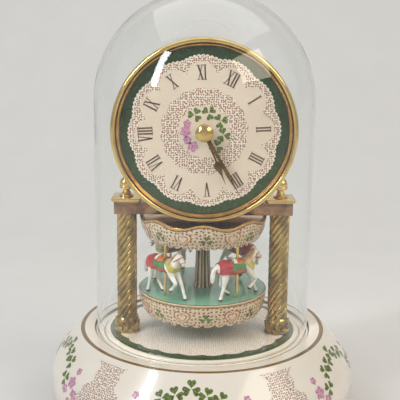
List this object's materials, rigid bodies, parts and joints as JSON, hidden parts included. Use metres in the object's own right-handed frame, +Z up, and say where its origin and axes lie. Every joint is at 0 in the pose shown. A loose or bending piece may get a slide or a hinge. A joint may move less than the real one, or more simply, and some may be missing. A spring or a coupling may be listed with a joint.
{
  "type": "carousel dome clock",
  "caption": "Glass-domed porcelain mantel clock on twisted brass columns, with a musical carousel of horses turning under the dial.",
  "frame": {"origin": "on the table under the carousel's axis, at the middle of the foot pads", "axes": "+Z up along the carousel's axis, -Y towards the viewer of the dial, +X to that viewer's right"},
  "size_m": [0.201, 0.201, 0.2751],
  "materials": {
    "porcelain": "glossy cream glaze with printed decoration",
    "lace_porcelain": "cream glaze with a printed lace pattern",
    "dome_glass": "clear blown glass",
    "polished_brass": "polished and lacquered",
    "roof_brass": "polished, darker",
    "hand_metal": "antique bronze",
    "green_enamel": "gloss mint green",
    "striped_enamel": "brown and cream stripes",
    "horse_enamel": "white glaze with painted harness",
    "steel": "plain steel",
    "movement_brass": "machined",
    "bed_casting": "grey casting",
    "black_plastic": "moulded",
    "gilt_shell": "drawn and lacquered",
    "cell_wrap": "plain sleeve, unmarked",
    "pad_rubber": "soft pad"
  },
  "bodies": {
    "base": {"porcelain_base": "porcelain", "foot_pads": "pad_rubber", "base_plate": "steel", "left_column": "polished_brass", "right_column": "polished_brass", "column_collars": "polished_brass", "column_caps": "polished_brass", "finials": "polished_brass", "tie_rods": "steel", "rod_nuts": "steel", "crossbeam": "polished_brass", "beam_bush": "polished_brass", "deck_bush": "polished_brass", "clock_bracket": "polished_brass", "bracket_screws": "steel", "movement_bedplate": "bed_casting", "comb_base": "movement_brass", "comb": "steel", "movement_screws": "steel", "barrel_bridge": "movement_brass", "cylinder_cocks": "movement_brass"},
    "dome": {"glass_dome": "dome_glass"},
    "carousel": {"spindle": "steel", "spindle_gear": "movement_brass", "platform_hub": "movement_brass", "platform": "green_enamel", "platform_skirt": "lace_porcelain", "centre_column": "striped_enamel", "canopy_roof": "roof_brass", "canopy_nut": "polished_brass", "canopy_valance": "lace_porcelain", "front_left_horse": "horse_enamel", "front_right_horse": "horse_enamel", "back_right_horse": "horse_enamel", "back_left_horse": "horse_enamel", "horse_poles": "polished_brass"},
    "barrel": {"spring_barrel": "movement_brass", "drive_wheel": "movement_brass", "mainspring": "steel"},
    "winder": {"winding_arbor": "steel", "winding_key": "steel"},
    "cylinder": {"music_cylinder": "movement_brass", "cylinder_arbor": "steel", "cylinder_wheel": "movement_brass"},
    "fan": {"governor_fan": "movement_brass"},
    "clock_head": {"bezel": "polished_brass", "dial": "porcelain", "dial_pan": "gilt_shell", "movement_can": "gilt_shell", "back_cover": "black_plastic", "movement_case": "black_plastic", "dial_nut": "polished_brass", "battery": "cell_wrap"},
    "minute_works": {"minute_hand": "hand_metal", "hand_cap": "polished_brass", "minute_arbor": "steel", "set_knob": "black_plastic"},
    "hour_works": {"hour_hand": "hand_metal", "hour_wheel": "black_plastic"},
    "motion_works": {"motion_wheel": "black_plastic"}
  },
  "joints": [
    {"name": "dome_lift", "type": "slide", "parent": "base", "child": "dome", "axis": [0, 0, 1], "range_m": [0, 0.24]},
    {"name": "carousel_spin", "type": "hinge", "parent": "base", "child": "carousel", "pos_m": [0, 0, 0.0835], "axis": [0, 0, 1], "continuous": true},
    {"name": "barrel_turn", "type": "hinge", "parent": "base", "child": "barrel", "pos_m": [0, 0.0224, 0.037], "axis": [0, 0, 1], "continuous": true},
    {"name": "cylinder_turn", "type": "hinge", "parent": "base", "child": "cylinder", "pos_m": [0.03, 0.0224, 0.032], "axis": [1, 0, 0], "continuous": true},
    {"name": "fan_spin", "type": "hinge", "parent": "base", "child": "fan", "pos_m": [0.03, 0.03415, 0.03628], "axis": [1, 0, 0], "continuous": true},
    {"name": "key_wind", "type": "hinge", "parent": "base", "child": "winder", "pos_m": [0, 0.0224, 0.008], "axis": [0, 0, 1], "range_deg": [0, 1800]},
    {"name": "clock_head_turn", "type": "hinge", "parent": "base", "child": "clock_head", "pos_m": [0, -0.009, 0.1903], "axis": [0, 1, 0], "range_deg": [-180, 180]},
    {"name": "minute_hand_turn", "type": "hinge", "parent": "clock_head", "child": "minute_works", "pos_m": [0, -0.031, 0.1903], "axis": [0, 1, 0], "continuous": true},
    {"name": "hour_hand_turn", "type": "hinge", "parent": "clock_head", "child": "hour_works", "pos_m": [0, -0.031, 0.1903], "axis": [0, 1, 0], "continuous": true},
    {"name": "motion_wheel_turn", "type": "hinge", "parent": "clock_head", "child": "motion_works", "pos_m": [0.01069, -0.011, 0.18485], "axis": [0, 1, 0], "continuous": true}
  ],
  "couplings": [
    {"joint": "barrel_turn", "follows": "carousel_spin", "ratio": -0.4},
    {"joint": "cylinder_turn", "follows": "carousel_spin", "ratio": 1.4},
    {"joint": "fan_spin", "follows": "carousel_spin", "ratio": -5.6},
    {"joint": "hour_hand_turn", "follows": "minute_hand_turn", "ratio": 0.083333},
    {"joint": "motion_wheel_turn", "follows": "minute_hand_turn", "ratio": -0.33333}
  ]
}
